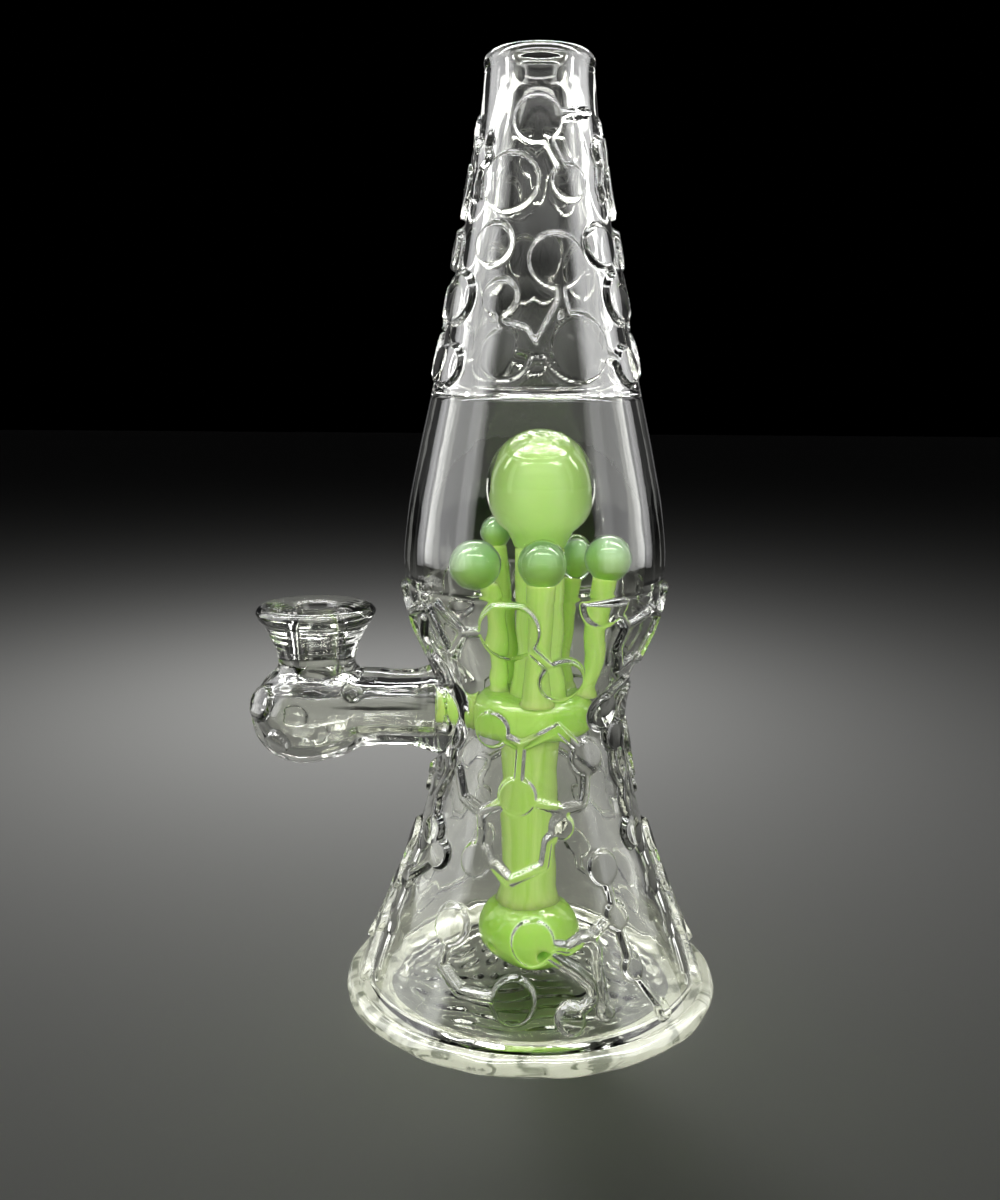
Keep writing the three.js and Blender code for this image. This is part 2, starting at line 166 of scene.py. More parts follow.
TIP_CORE_SHARE = 0.66              # a tip's milky core is this much of its size,
TIP_CORE_DROP = 0.15               # and this far below its middle

# Raised discs on the arm: the centre of each, and its radius.
ARM_DISCS = [
    ((-60.0, -10.2, 66.0), 2.8), ((-64.6, -7.6, 74.4), 4.0), ((-42.5, -9.0, 77.4), 1.9),
    ((-60.5, 9.6, 66.0), 3.4), ((-51.5, 6.0, 60.0), 2.8),
]
ARM_DISC_HEIGHT = 1.2

# ---- Molecules carved in relief: chains of (angle, height, disc radius), joined by bars ----
# A radius of 0 is a plain bend of the bar.
BODY_MOLECULES = [
    [(-50.8, 99.7, 0), (-42.4, 89.3, 0), (-31.9, 95.8, 0), (-10.6, 97.2, 6.6), (14.8, 85.1, 5.0)],
    [(-44.7, 101.3, 0), (-31.9, 95.8, 0)],
    [(30.8, 103.6, 5.8), (44.5, 96.8, 0), (42.3, 92.0, 0), (49.0, 86.2, 0), (57.3, 87.8, 0)],
    [(44.5, 96.8, 0), (63.0, 99.6, 0)],
    [(47.8, 75.3, 4.2), (51.8, 80.1, 0), (62.1, 82.5, 0)],
    [(-47.0, 61.4, 0), (-40.0, 55.6, 0), (-27.5, 53.2, 0), (-7.9, 57.7, 4.2), (-6.8, 69.0, 0),
     (-25.5, 72.3, 4.1)],
    [(-27.5, 53.2, 0), (-25.5, 48.4, 0), (-26.6, 43.0, 3.7), (-16.9, 42.3, 0), (-9.4, 39.4, 0),
     (6.2, 42.9, 0), (8.1, 48.0, 0), (15.8, 51.0, 2.6), (17.1, 54.6, 0), (28.0, 55.4, 0),
     (30.6, 58.0, 0), (33.2, 65.7, 4.0), (24.7, 69.5, 0), (15.3, 73.2, 0), (-6.8, 69.0, 0)],
    [(-7.9, 57.7, 0), (17.1, 54.6, 0)],
    [(-49.0, 41.6, 3.2), (-57.9, 37.4, 0), (-68.7, 32.9, 2.6)],
    [(35.0, 40.9, 3.8), (37.2, 30.4, 3.0), (39.4, 19.0, 2.6), (47.6, 8.6, 1.9)],
    [(0.9, 27.1, 4.7), (14.6, 25.7, 0), (20.1, 27.0, 0), (24.0, 27.1, 0), (30.7, 29.3, 0),
     (37.2, 30.4, 0)],
    [(24.0, 27.1, 0), (26.2, 24.6, 0), (25.2, 21.3, 0), (25.3, 15.7, 0), (25.5, 12.3, 1.8)],
    [(0.9, 27.1, 0), (17.1, 20.7, 0), (21.8, 17.9, 0), (21.9, 15.0, 0), (13.3, 11.6, 3.0)],
    [(-32.8, 28.4, 4.2), (-33.2, 23.8, 0), (-33.5, 19.8, 0), (-24.4, 15.7, 0), (-5.4, 15.4, 4.7)],
    [(64.0, 68.9, 3.4), (66.0, 61.0, 0), (58.0, 54.0, 0), (62.0, 46.0, 3.6)],
    [(-62.0, 84.0, 4.2), (-64.0, 92.5, 0), (-57.0, 97.0, 0)],
]
NECK_MOLECULES = [
    [(49.3, 207.4, 0), (-1.1, 205.3, 5.0), (25.1, 192.4, 3.9)],
    [(-23.4, 192.4, 6.3)],
    [(-49.4, 202.4, 0), (-54.7, 198.5, 2.4), (-62.0, 190.0, 0)],
    [(69.4, 200.0, 3.2), (60.0, 192.0, 0)],
    [(-32.0, 179.5, 4.6)],
    [(48.0, 179.4, 4.6), (66.0, 172.0, 3.4)],
    [(-60.0, 168.4, 5.6)],
    [(-64.0, 153.9, 4.4)],
    [(12.7, 175.8, 5.9), (15.0, 167.6, 0), (12.0, 165.6, 0), (2.6, 159.5, 0), (1.0, 156.4, 0),
     (-17.5, 156.1, 5.7)],
    [(-23.6, 168.1, 4.0), (-21.5, 162.6, 0), (-7.4, 161.0, 0), (1.0, 156.4, 0), (22.9, 157.6, 7.4),
     (47.2, 155.3, 0), (56.2, 153.5, 2.2)],
    [(15.0, 167.6, 0), (22.9, 157.6, 0)],
]


# ---- Curves and grids ----
def interpolated(points, where):
    """Smooth values at where, through the (place, value) points."""
    places = np.array([p for p, _ in points], float)
    values = np.array([v for _, v in points], float)
    slopes = np.gradient(values, places)
    where = np.clip(where, places[0], places[-1])
    i = np.clip(np.searchsorted(places, where) - 1, 0, len(places) - 2)
    step = places[i + 1] - places[i]
    t = (where - places[i]) / step
    return (
        (2 * t**3 - 3 * t**2 + 1) * values[i]
        + (t**3 - 2 * t**2 + t) * step * slopes[i]
        + (3 * t**2 - 2 * t**3) * values[i + 1]
        + (t**3 - t**2) * step * slopes[i + 1]
    )


def vessel_radius(height):
    return interpolated(VESSEL_OUTLINE, np.asarray(height, float))


def smooth_ramp(x):
    """Rises from 0 to 1 with no corner at either end."""
    x = np.clip(x, 0, 1)
    return x**3 * (x * (6 * x - 15) + 10)


def arc(centre, half_sizes, start, end, steps):
    """Points of an elliptical arc, with angles in degrees from the first direction."""
    angles = np.radians(np.linspace(start, end, steps + 1))
    return [
        (centre[0] + half_sizes[0] * math.cos(a), centre[1] + half_sizes[1] * math.sin(a))
        for a in angles
    ]


def turned_by(degrees, flipped, molecules):
    """The molecules turned round the vessel, and mirrored first if flipped."""
    sign = -1 if flipped else 1
    return [[(sign * a + degrees, z, r) for a, z, r in chain] for chain in molecules]


def relief(angle, height, radius, molecules):
    """How proud of the ground surface each point stands. angle is in degrees from the front."""

    def offsets(a, z):
        turn = (angle - a + 180) % 360 - 180
        return radius * np.radians(turn), height - z

    proud = np.zeros_like(angle)
    for chain in molecules:
        for a, z, size in chain:
            if size > 0:
                across, up = offsets(a, z)
                distance = np.hypot(across, up)
                dome = 0.16 * np.clip(1 - (distance / size) ** 2, 0, 1)
                level = smooth_ramp((size - distance) / RELIEF_SLOPE + 0.5)
                proud = np.maximum(proud, (level + dome) * RELIEF_HEIGHT)
        for (a, z, _), (a2, z2, _) in zip(chain, chain[1:]):
            across, up = offsets(a, z)
            run_across = radius * math.radians((a2 - a + 180) % 360 - 180)
            run_up = z2 - z
            share = np.clip((across * run_across + up * run_up) / (run_across**2 + run_up**2), 0, 1)
            distance = np.hypot(across - share * run_across, up - share * run_up)
            level = smooth_ramp((BAR_HALF_WIDTH - distance) / RELIEF_SLOPE + 0.5)
            proud = np.maximum(proud, level * RELIEF_HEIGHT)
    return proud


def waviness(angle, height, size):
    """The slight unevenness of hand-worked glass."""
    a = np.radians(angle)
    return size * (
        np.sin(3 * a + 0.11 * height)
        + 0.7 * np.sin(7 * a - 0.23 * height + 1.3)
        + 0.5 * np.sin(11 * a + 0.37 * height + 2.1)
    )


# ---- Meshes ----
def new_piece(name, vertices, faces, material):
    mesh = bpy.data.meshes.new(name)
    mesh.from_pydata([tuple(v) for v in vertices], [], faces)
    mesh.validate()
    mesh.transform(Matrix.Scale(MM, 4))
    mesh.shade_smooth()
    piece = bpy.data.objects.new(name, mesh)
    bpy.context.scene.collection.objects.link(piece)
    mesh.materials.append(material)
    return piece


def loops_to_mesh(loops, closed_round):
    """Joins rings of points into quads. closed_round joins the last ring back to the first."""
    rings, count = len(loops), len(loops[0])
    vertices = np.concatenate(loops)
    faces = []
    for i in range(rings if closed_round else rings - 1):
        low, high = i * count, ((i + 1) % rings) * count
        faces += [
            (low + j, low + (j + 1) % count, high + (j + 1) % count, high + j) for j in range(count)
        ]
    return vertices, faces


def ring(radius, height, angles):
    """Points round the axis, at angles in degrees from the front."""
    radians = np.radians(angles)
    return np.stack(
        [radius * np.sin(radians), -radius * np.cos(radians), np.broadcast_to(height, radians.shape)], 1
    )


def turned(name, profile, sides, material, x=0.0, y=0.0):
    """A solid of revolution about +Z, through x and y, from (radius, height) points that run
    upwards on its outside and start and end on its axis."""
    angles = np.arange(sides) * 360 / sides
    outer = profile[1:-1]
    vertices, faces = loops_to_mesh([ring(r, z, angles) for r, z in outer], False)
    bottom = len(vertices)
    vertices = np.concatenate([vertices, [(0, 0, profile[0][1]), (0, 0, profile[-1][1])]])
    last = bottom - sides
    faces += [((j + 1) % sides, j, bottom) for j in range(sides)]
    faces += [(last + j, last + (j + 1) % sides, bottom + 1) for j in range(sides)]
    return new_piece(name, vertices + np.array([x, y, 0]), faces, material)


def finish_piece(piece, slot, *nodes):
    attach(piece, "root")
    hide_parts(*nodes)
    return piece


def apply_modifiers(piece):
    graph = bpy.context.evaluated_depsgraph_get()
    mesh = bpy.data.meshes.new_from_object(piece.evaluated_get(graph))
    piece.modifiers.clear()
    piece.data = mesh
    return piece


# ---- Materials ----
def principled(name):
    material = bpy.data.materials.new(name)
    material.use_nodes = True
    return material, material.node_tree, material.node_tree.nodes["Principled BSDF"]


def object_noise(tree, scale, stretch=(1, 1, 1), detail=3.0, distortion=0.0):
    """Noise in the piece's own space. stretch below 1 draws it out along that axis."""
    place = tree.nodes.new("ShaderNodeTexCoord")
    mapping = tree.nodes.new("ShaderNodeMapping")
    mapping.inputs["Scale"].default_value = stretch
    noise = tree.nodes.new("ShaderNodeTexNoise")
    noise.inputs["Scale"].default_value = scale
    noise.inputs["Detail"].default_value = detail
    noise.inputs["Distortion"].default_value = distortion
    tree.links.new(place.outputs["Object"], mapping.inputs["Vector"])
    tree.links.new(mapping.outputs["Vector"], noise.inputs["Vector"])
    return noise.outputs["Fac"]


def add_bump(tree, shader, height, distance, strength):
    bump = tree.nodes.new("ShaderNodeBump")
    bump.inputs["Distance"].default_value = distance
    bump.inputs["Strength"].default_value = strength
    tree.links.new(height, bump.inputs["Height"])
    tree.links.new(bump.outputs["Normal"], shader.inputs["Normal"])


def clear_glass(name, tint):
    """Borosilicate: clear, with faint drawn streaks."""
    material, tree, shader = principled(name)
    shader.inputs["Base Color"].default_value = (*tint, 1)
    shader.inputs["Roughness"].default_value = 0.0
    shader.inputs["IOR"].default_value = 1.47
    shader.inputs["Transmission Weight"].default_value = 1.0
    streaks = object_noise(tree, 160, stretch=(1, 1, 0.25))
    add_bump(tree, shader, streaks, 0.0004, 0.12)
    return material


def ground_glass():
    """The ring under the foot, ground flat and left frosted, with painted patches of light and shade in
    its colour.
    """
    material, tree, shader = principled("ground_ring")
    # Bright and dark patches in the ring's colour are painted patches of focused light and shade.
    painted_light_patches = tree.nodes.new("ShaderNodeValToRGB")
    painted_light_patches.color_ramp.elements[0].position = 0.42
    painted_light_patches.color_ramp.elements[0].color = (0.07, 0.076, 0.052, 1)
    painted_light_patches.color_ramp.elements[1].position = 0.48
    painted_light_patches.color_ramp.elements[1].color = (0.23, 0.236, 0.187, 1)
    tree.links.new(object_noise(tree, 75, detail=5.0, distortion=2.5), painted_light_patches.inputs["Fac"])
    tree.links.new(painted_light_patches.outputs["Color"], shader.inputs["Base Color"])
    shader.inputs["Roughness"].default_value = 0.2
    shader.inputs["Transmission Weight"].default_value = 0.35
    shader.inputs["IOR"].default_value = 1.47
    return material


def green_glass(name, deep, pale, scale, stretch=(1, 1, 1), lumps=0.25, roughness=0.05):
    """Milky coloured glass whose colour drifts between two tones."""
    material, tree, shader = principled(name)
    drift = object_noise(tree, scale, stretch, distortion=1.2)
    ramp = tree.nodes.new("ShaderNodeValToRGB")
    ramp.color_ramp.elements[0].position = 0.3
    ramp.color_ramp.elements[0].color = (*deep, 1)
    ramp.color_ramp.elements[1].position = 0.7
    ramp.color_ramp.elements[1].color = (*pale, 1)
    tree.links.new(drift, ramp.inputs["Fac"])
    tree.links.new(ramp.outputs["Color"], shader.inputs["Base Color"])
    shader.inputs["Roughness"].default_value = roughness
    shader.inputs["IOR"].default_value = 1.5
    shader.inputs["Subsurface Weight"].default_value = 0.85
    shader.inputs["Subsurface Radius"].default_value = (0.8, 1.0, 0.5)
    shader.inputs["Subsurface Scale"].default_value = 0.005
    add_bump(tree, shader, object_noise(tree, 260, detail=2.0), 0.0006, lumps)
    return material


CLEAR = clear_glass("clear_borosilicate", (0.975, 0.985, 0.93))
CASING = clear_glass("clear_casing", (1, 1, 1))
FROSTED = ground_glass()
SLIME = green_glass("slime_green_glass", (0.41, 0.72, 0.11), (0.55, 0.85, 0.20), 60, lumps=0.6)
CORE = green_glass(
    "blob_core_green", (0.45, 0.74, 0.16), (0.53, 0.80, 0.22), 45, lumps=0.1, roughness=0.35
)
# The crown's paler green is a painted highlight on the blob's bubbly top.
CROWN_PAINTED_HIGHLIGHT = green_glass("blob_crown_painted_highlight", (0.56, 0.86, 0.22), (0.70, 0.95, 0.42), 400, lumps=0.9)
# The vertical streaks in this colour are partly the glass's own drawn streaks and partly painted
# reflections of the side lights.
DRAWN_AND_PAINTED_STREAKS = green_glass(
    "drawn_green_glass_painted_reflections", (0.47, 0.73, 0.15), (0.62, 0.83, 0.28), 300, stretch=(1, 1, 0.06), lumps=0.1
)


def tip_green():
    """The tips' milky core: yellow-green below, drifting to a pale blue-green at the top."""
    material, tree, shader = principled("tip_core_green")
    place = tree.nodes.new("ShaderNodeTexCoord")
    split = tree.nodes.new("ShaderNodeSeparateXYZ")
    tree.links.new(place.outputs["Generated"], split.inputs[0])
    drift = tree.nodes.new("ShaderNodeMath")
    drift.operation = "MULTIPLY_ADD"
    drift.inputs[1].default_value = 0.35
    tree.links.new(object_noise(tree, 220), drift.inputs[0])
    tree.links.new(split.outputs["Z"], drift.inputs[2])
    ramp = tree.nodes.new("ShaderNodeValToRGB")
    ramp.color_ramp.elements[0].position = 0.35
    ramp.color_ramp.elements[0].color = (0.38, 0.57, 0.12, 1)
    ramp.color_ramp.elements[1].position = 1.0
    ramp.color_ramp.elements[1].color = (0.32, 0.56, 0.21, 1)
    tree.links.new(drift.outputs[0], ramp.inputs["Fac"])
    tree.links.new(ramp.outputs["Color"], shader.inputs["Base Color"])
    shader.inputs["Roughness"].default_value = 0.3
    shader.inputs["IOR"].default_value = 1.5
    shader.inputs["Subsurface Weight"].default_value = 0.9
    shader.inputs["Subsurface Radius"].default_value = (0.8, 1.0, 0.7)
    shader.inputs["Subsurface Scale"].default_value = 0.004
    shader.inputs["Sheen Weight"].default_value = 0.4
    shader.inputs["Sheen Roughness"].default_value = 0.35
    shader.inputs["Sheen Tint"].default_value = (0.70, 1.0, 0.85, 1)
    return material


TIP = tip_green()
TIP_SKIN = clear_glass("clear_tip_skin", (0.86, 0.98, 0.90))


# ---- The clear vessel ----
BODY_SWIRL = 0.06                  # unevenness of the bore in the body, which is blown thick,
CLEAR_SWIRL = 0.006                # and in the belly and the neck


def carved_section(name, heights, relief_top, molecules, columns, inside, ground):
    """A tube that carries the relief on its outside, up to relief_top. inside is its bore's
    (radius, height) points, downwards, and ground gives its outer radius without the relief."""
    angles = np.arange(columns) * 360 / columns
    angle, height = np.meshgrid(angles, heights)
    radius = ground(height)
    from_arm = np.hypot(radius * np.radians((angle + 90 + 180) % 360 - 180), height - ARM_HEIGHT)
    off_arm = smooth_ramp((from_arm - ARM_MARGIN) / 1.5)
    off_ends = smooth_ramp(height - heights[0]) * smooth_ramp(relief_top - height)
    proud = relief(angle, height, radius, molecules) * off_arm * off_ends
    radius = radius + proud + waviness(angle, height, 0.04) * off_ends * off_arm
    loops = [ring(radius[i], heights[i], angles) for i in range(len(heights))]
    for r, z in inside:
        swirl = BODY_SWIRL if z < BELLY_WELD else CLEAR_SWIRL
        loops.append(ring(r + waviness(angles, 1.8 * z, swirl), z, angles))
    return new_piece(name, *loops_to_mesh(loops, True), CLEAR)


def bore(low, high, wall, steps):
    """(radius, height) points down the inside of a section."""
    heights = np.linspace(high, low, steps + 1)
    return [(float(vessel_radius(z)) - wall, z) for z in heights]


body_all_round = (
    BODY_MOLECULES + turned_by(122, True, BODY_MOLECULES) + turned_by(240, False, BODY_MOLECULES)
)
neck_all_round = (
    NECK_MOLECULES + turned_by(124, False, NECK_MOLECULES) + turned_by(240, True, NECK_MOLECULES)
)


def weld_ground(height):
    """The body's outside, pinched a little where the clear belly is welded on."""
    return vessel_radius(height) - WELD_PINCH * np.exp(-(((height - BELLY_WELD) / 0.45) ** 2))


def mouth_ground(height):
    """The neck's outside, rounded into the lip at the top."""
    rise = np.clip((height - LIP_SHOULDER) / LIP_ROUND, 0, 1)
    lip = LIP_MIDDLE + (MOUTH_RADIUS - LIP_MIDDLE) * np.sqrt(1 - rise**2)
    return np.where(height > LIP_SHOULDER, lip, vessel_radius(height))


neck_low = NECK_WELD + WELD_GAP / 2
neck_bore = (
    arc((LIP_MIDDLE, LIP_SHOULDER), (MOUTH_RADIUS - LIP_MIDDLE, LIP_ROUND), 90, 180, 10)[1:]
    + [(MOUTH_BORE, 216.5), (MOUTH_BORE + 0.1, 214.6), (MOUTH_BORE + 0.5, 213.4)]
    + [(MOUTH_BORE + 1.0, 211.6), (MOUTH_BORE + 1.4, 209.0)]
    + [(float(vessel_radius(z)) - NECK_WALL, z) for z in np.linspace(205, neck_low, 28)]
)
neck_heights = np.linspace(neck_low, OVERALL_HEIGHT - 0.02, 151)
carved_neck = carved_section(
    "carved_neck", neck_heights, OVERALL_HEIGHT, neck_all_round, 360, neck_bore, mouth_ground
)
finish_piece(carved_neck, "clear_glass", "neck_section", "mouthpiece_lip")


# ---- The foot, the carved body, the belly and the side arm, fused into one piece of glass ----
def along_x(profile, sides, drooped=False):
    """Vertices and faces of a solid of revolution about the arm's axis, from (x, radius) points."""
    angles = np.arange(sides) * 360 / sides
    loops = []
    for x, r in profile:
        radians = np.radians(angles)
        drop = BULB_DROOP * (x - BULB_WELD) if drooped else 0.0
        loops.append(np.stack(
            [np.full(sides, x), r * np.cos(radians), ARM_HEIGHT + drop + r * np.sin(radians)], 1
        ))
    vertices, faces = loops_to_mesh(loops, False)
    first, last = tuple(range(sides))[::-1], tuple(range(len(vertices) - sides, len(vertices)))
    return vertices, faces + [first, last]


def bulb_form(offset, neck):
    """The bulb's (x, radius) points, grown by offset, down to the neck that runs into the tube."""
    dome = arc((BULB_CENTRE, 0), (BULB_CENTRE - BULB_END + offset, BULB_RADIUS + offset), 178, 72, 16)
    return dome + [(-46.0, neck + 2.3), (-42.5, neck + 0.5), (-36.0, neck)]


def combine(piece, other, operation):
    cut = piece.modifiers.new("cut", "BOOLEAN")
    cut.operation = operation
    cut.object = other
    cut.solver = "MANIFOLD"
    apply_modifiers(piece)
    bpy.data.objects.remove(other)
    return piece


def vessel_plug(name, offset):
    heights = np.linspace(40, 104, 65)
    profile = [(0, 40)] + [(float(vessel_radius(z)) + offset, z) for z in heights] + [(0, 104)]
    return turned(name, profile, 192, CLEAR)


def side_arm():
    """The arm's glass, blown smooth, ending inside the body's wall."""
    bulb = bulb_form(0, ARM_RADIUS + 0.1)
    arm = new_piece("side_arm", *along_x(bulb, ARM_SIDES, True), CLEAR)
    tube = [
        (-42, ARM_RADIUS + 0.2), (-33, ARM_RADIUS), (-28.5, ARM_RADIUS + 0.2),
        (-25.8, ARM_RADIUS + 1.0), (-24.2, ARM_RADIUS + 1.9), (-23.0, ARM_RADIUS + 1.6),
        (-22, ARM_RADIUS + 2.6), (-14, ARM_RADIUS + 3.2),
    ]
    combine(arm, new_piece("tube", *along_x(tube, ARM_SIDES), CLEAR), "UNION")
    socket = [
        (0, 70), (8, 70), (11.8, 78), (9.8, 81), (9.2, 83.4), (9.7, 86), (10.9, 89), (12.4, 92),
        (13.6, 93.6), (14.3, 94.4),
    ]
    socket += arc((12.5, 95.2), (2, SOCKET_TOP - 95.2), 0, 90, 6) + [(8, SOCKET_TOP), (0, SOCKET_TOP)]
    combine(arm, turned("socket", socket, ARM_SIDES, CLEAR, x=SOCKET_X), "UNION")
    hollow_form = bulb_form(-BULB_WALL, ARM_BORE)
    hollow = new_piece("hollow", *along_x(hollow_form, ARM_SIDES, True), CLEAR)
    combine(hollow, new_piece("bore", *along_x([(-44, ARM_BORE), (-12, ARM_BORE)], 64), CLEAR), "UNION")
    joint = [(0, 72), (4.3, 72), (4.3, 80), (5.0, 95.6), (5.7, SOCKET_TOP + 0.4), (6, 98), (0, 98)]
    combine(hollow, turned("joint", joint, ARM_SIDES, CLEAR, x=SOCKET_X), "UNION")
    combine(arm, hollow, "DIFFERENCE")
    combine(arm, vessel_plug("core", -3.6), "DIFFERENCE")
    remesh = arm.modifiers.new("remesh", "REMESH")
    remesh.mode = "VOXEL"
    remesh.voxel_size = 0.58 * MM
    relax = arm.modifiers.new("relax", "SMOOTH")
    relax.factor = 0.5
    relax.iterations = 10
    return raise_discs(apply_modifiers(arm))


def raise_discs(arm):
    """Raises the discs, and gives the tube its drawn streaks and the socket its faint ribs."""
    mesh = arm.data
    points = np.empty(len(mesh.vertices) * 3)
    normals = np.empty(len(mesh.vertices) * 3)
    mesh.vertices.foreach_get("co", points)
    mesh.vertices.foreach_get("normal", normals)
    points, normals = points.reshape(-1, 3) / MM, normals.reshape(-1, 3)
    outward = points - np.array([BULB_CENTRE, 0, ARM_HEIGHT])
    outside = (outward * normals).sum(1) > 0
    proud = np.zeros(len(points))
    for centre, size in ARM_DISCS:
        distance = np.linalg.norm(points - np.array(centre), axis=1)
        proud = np.maximum(proud, smooth_ramp((size - distance) / RELIEF_SLOPE + 0.5))
    around = np.arctan2(points[:, 2] - ARM_HEIGHT, points[:, 1])
    x, z = points[:, 0], points[:, 2]
    drawn = 0.05 * np.sin(11 * around + 0.12 * x) + 0.04 * np.sin(19 * around - 0.07 * x + 1)
    ribbed = 0.07 * np.sin(2 * math.pi * z / RIB_PITCH)
    on_socket = smooth_ramp((z - 84) / 3)
    texture = drawn * (1 - on_socket) + ribbed * on_socket * smooth_ramp((SOCKET_TOP - 1 - z) / 1.5)
    points += normals * (proud * outside * ARM_DISC_HEIGHT + texture)[:, None]
    mesh.vertices.foreach_set("co", (points * MM).ravel())
    mesh.update()
    return arm


def soften_weld(body):
    """Melts the line where the arm meets the carved wall."""
    group = body.vertex_groups.new(name="weld")
    inside, outside = ARM_WELD
    for vertex in body.data.vertices:
        x, y, z = vertex.co / MM
        from_axis = math.hypot(y, z - ARM_HEIGHT)
        if -26 < x < -12 and inside < from_axis < outside:
            weight = smooth_ramp((from_axis - inside) / 1.5)
            weight *= smooth_ramp((outside - from_axis) / 1.5)
            group.add([vertex.index], float(weight), "REPLACE")
    melt = body.modifiers.new("melt", "SMOOTH")
    melt.vertex_group = "weld"
    melt.factor = 0.5
    melt.iterations = 8
    apply_modifiers(body)
    body.vertex_groups.clear()
    return body


def foot():
    """The thick foot and base plate, slightly uneven all over, dished and rippled underneath."""
    rim = FOOT_RADIUS - 0.25
    profile = (
        [(0, 0)]
        + [(r, 0) for r in np.linspace(1.5, GROUND_RING_RADIUS, 44)]
        + [(rim - 2.4, 0)]
        + arc((rim - 2.2, 2.2), (2.2, 2.2), -85, 0, 7)
        + arc((rim - 2.8, 2.6), (2.8, FOOT_TOP - 2.6), 10, 90, 7)
        + [(41.5, FOOT_TOP), (39.5, FOOT_TOP - 0.1), (38.2, PLATE_TOP + 0.1), (37.2, PLATE_TOP)]
        + [(r, PLATE_TOP) for r in np.linspace(35.7, 1.5, 46)]
        + [(0, PLATE_TOP)]
    )
    piece = turned("foot", profile, 240, CLEAR)
    for vertex in piece.data.vertices:
        x, y, z = vertex.co / MM
        around, out = math.atan2(y, x), math.hypot(x, y)
        if out > RIM_INSIDE:
            swell = 0.14 * math.sin(9 * around + 1.5 * z) + 0.10 * math.sin(17 * around + 1 - 2 * z)
            vertex.co.x *= 1 + swell / out
            vertex.co.y *= 1 + swell / out
        ripple = math.sin(1.25 * out + 2.2 * math.sin(3 * around) + 1.3 * math.sin(0.31 * x))
        ripple += 0.6 * math.sin(0.9 * y + 1.5 * math.sin(0.27 * x + 1))
        if z > 2 and out < PLATE_RADIUS:
            vertex.co.z += 0.12 * float(smooth_ramp((PLATE_RADIUS - out) / 4)) * ripple * MM
        if z < 0.5 and out < GROUND_RING_RADIUS:
            hollow = float(smooth_ramp((GROUND_RING_RADIUS - out) / 5))
            vertex.co.z += hollow * (DISH_DEPTH + 0.14 * ripple) * MM
    return piece


body_low = FOOT_TOP - 0.4          # just inside the foot that it is joined to
body_high = NECK_WELD - WELD_GAP / 2
body_heights = np.concatenate([
    np.linspace(body_low, BELLY_WELD + 1.5, 240), np.linspace(BELLY_WELD + 2.5, body_high, 44)
])
body = carved_section(
    "vessel_body", body_heights, BELLY_WELD, body_all_round, 560, bore(body_low, body_high, WALL, 110),
    weld_ground,
)
combine(body, foot(), "UNION")
combine(body, side_arm(), "UNION")
inlet_hole = along_x([(-24, INLET_HOLE_RADIUS), (-12, INLET_HOLE_RADIUS)], 64)
combine(body, new_piece("inlet_hole", *inlet_hole, CLEAR), "DIFFERENCE")
soften_weld(body)
body.data.shade_smooth()
# The ground ring underneath carries painted patches of light and shade in its colour.
body.data.materials.append(FROSTED)
for face in body.data.polygons:
    centre = face.center / MM
    if centre.z < 0.4 and math.hypot(centre.x, centre.y) > GROUND_RING_RADIUS:
        face.material_index = 1
finish_piece(
    body, "clear_glass", "foot_rim", "base_plate", "skirt_section", "waist_section", "belly_band",
    "side_arm_tube", "side_arm_bulb", "arm_weld_collar", "joint_socket", "joint_flange",
)


# ---- The green percolator ----
def leaned(piece):
    """Everything below the puck's top tips to one side, more the lower it lies."""
    for vertex in piece.data.vertices:
        x, z = vertex.co.x / MM - DOWNTUBE_X, vertex.co.z / MM
        vertex.co.z += PUCK_LEAN * x * float(smooth_ramp((PUCK_TOP - z) / 8)) * MM
    return piece


deck_profile = (
    [(0, DECK_BOTTOM)]
    + arc((DECK_RADIUS - DECK_EDGE, DECK_BOTTOM + DECK_EDGE), (DECK_EDGE, DECK_EDGE), -90, 0, 8)
    + arc((DECK_RADIUS - DECK_EDGE, DECK_TOP - DECK_EDGE), (DECK_EDGE, DECK_EDGE), 0, 90, 8)
    + [(0, DECK_TOP)]
)
deck = turned("percolator_deck", deck_profile, 96, SLIME)
finish_piece(deck, "green_glass", "perc_deck")

inlet_profile = [
    (-21.6, INLET_RADIUS - 0.3), (-21.2, INLET_RADIUS), (-15.5, INLET_RADIUS),
    (-13.6, INLET_RADIUS + 0.6),
]
inlet = new_piece("percolator_inlet", *along_x(inlet_profile, 48), SLIME)
inlet_bore = along_x([(-22.5, INLET_BORE), (-14.5, INLET_BORE)], 32)
combine(inlet, new_piece("bore", *inlet_bore, SLIME), "DIFFERENCE")
finish_piece(inlet, "green_glass", "perc_inlet_tube")

tube_profile = [
    (0, PUCK_TOP + 0.05), (DOWNTUBE_RADIUS + 1.2, PUCK_TOP + 0.05),
    (DOWNTUBE_RADIUS + 0.5, PUCK_TOP + 2.0), (DOWNTUBE_RADIUS + 0.1, PUCK_TOP + 4.5),
    (DOWNTUBE_RADIUS - 0.1, 40), (DOWNTUBE_RADIUS - 0.1, 52),
    (DOWNTUBE_RADIUS + 0.1, DECK_BOTTOM - 4.5), (DOWNTUBE_RADIUS + 0.9, DECK_BOTTOM - 0.05),
    (0, DECK_BOTTOM - 0.05),
]
downtube = turned("downtube_green", tube_profile, 64, DRAWN_AND_PAINTED_STREAKS, x=DOWNTUBE_X)
finish_piece(downtube, "green_glass", "downtube")

